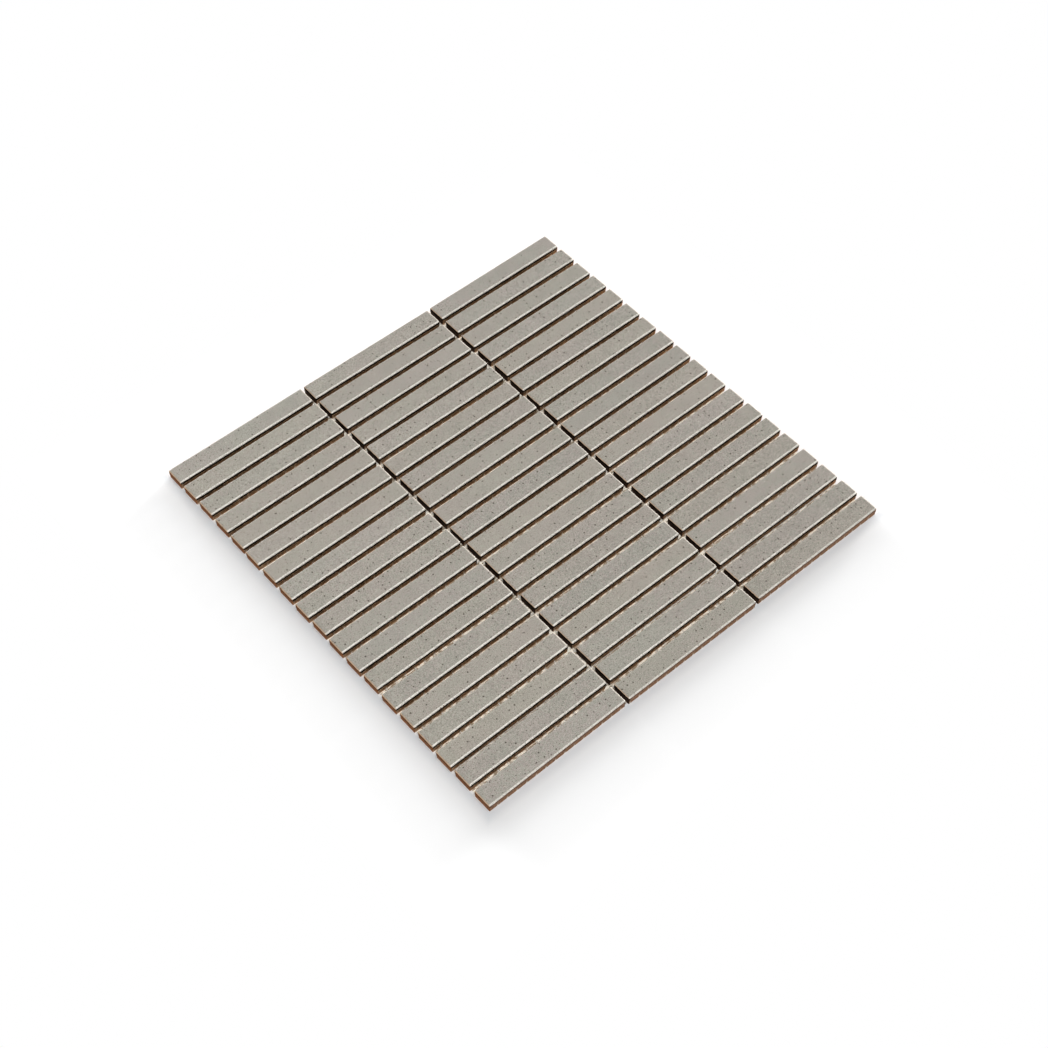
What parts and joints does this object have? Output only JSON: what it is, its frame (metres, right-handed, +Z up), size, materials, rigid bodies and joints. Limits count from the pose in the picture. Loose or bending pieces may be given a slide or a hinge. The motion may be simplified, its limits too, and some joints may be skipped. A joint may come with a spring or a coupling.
{
  "type": "mosaic tile sheet",
  "caption": "Near-square sheet of long glazed ceramic stick tiles in a straight grid with open joints, bonded to a backing net, for facing a wall or floor.",
  "frame": {"origin": "under the middle of the sheet, at the level that its backing net lies on", "axes": "+X along the sticks, +Y across the rows towards row 1, +Z up out of the glazed faces"},
  "size_m": [0.2982, 0.2947, 0.0062],
  "materials": {
    "glazed_clay": "matt greige glaze with dark specks over reddish-brown fired clay",
    "net_thread": "off-white coated thread"
  },
  "bodies": {
    "root": {"stick_row_01_column_1": "glazed_clay", "stick_row_01_column_2": "glazed_clay", "stick_row_01_column_3": "glazed_clay", "stick_row_02_column_1": "glazed_clay", "stick_row_02_column_2": "glazed_clay", "stick_row_02_column_3": "glazed_clay", "stick_row_03_column_1": "glazed_clay", "stick_row_03_column_2": "glazed_clay", "stick_row_03_column_3": "glazed_clay", "stick_row_04_column_1": "glazed_clay", "stick_row_04_column_2": "glazed_clay", "stick_row_04_column_3": "glazed_clay", "stick_row_05_column_1": "glazed_clay", "stick_row_05_column_2": "glazed_clay", "stick_row_05_column_3": "glazed_clay", "stick_row_06_column_1": "glazed_clay", "stick_row_06_column_2": "glazed_clay", "stick_row_06_column_3": "glazed_clay", "stick_row_07_column_1": "glazed_clay", "stick_row_07_column_2": "glazed_clay", "stick_row_07_column_3": "glazed_clay", "stick_row_08_column_1": "glazed_clay", "stick_row_08_column_2": "glazed_clay", "stick_row_08_column_3": "glazed_clay", "stick_row_09_column_1": "glazed_clay", "stick_row_09_column_2": "glazed_clay", "stick_row_09_column_3": "glazed_clay", "stick_row_10_column_1": "glazed_clay", "stick_row_10_column_2": "glazed_clay", "stick_row_10_column_3": "glazed_clay", "stick_row_11_column_1": "glazed_clay", "stick_row_11_column_2": "glazed_clay", "stick_row_11_column_3": "glazed_clay", "stick_row_12_column_1": "glazed_clay", "stick_row_12_column_2": "glazed_clay", "stick_row_12_column_3": "glazed_clay", "stick_row_13_column_1": "glazed_clay", "stick_row_13_column_2": "glazed_clay", "stick_row_13_column_3": "glazed_clay", "stick_row_14_column_1": "glazed_clay", "stick_row_14_column_2": "glazed_clay", "stick_row_14_column_3": "glazed_clay", "stick_row_15_column_1": "glazed_clay", "stick_row_15_column_2": "glazed_clay", "stick_row_15_column_3": "glazed_clay", "stick_row_16_column_1": "glazed_clay", "stick_row_16_column_2": "glazed_clay", "stick_row_16_column_3": "glazed_clay", "stick_row_17_column_1": "glazed_clay", "stick_row_17_column_2": "glazed_clay", "stick_row_17_column_3": "glazed_clay", "stick_row_18_column_1": "glazed_clay", "stick_row_18_column_2": "glazed_clay", "stick_row_18_column_3": "glazed_clay", "stick_row_19_column_1": "glazed_clay", "stick_row_19_column_2": "glazed_clay", "stick_row_19_column_3": "glazed_clay", "net_threads_along": "net_thread", "net_threads_across": "net_thread"}
  },
  "joints": []
}
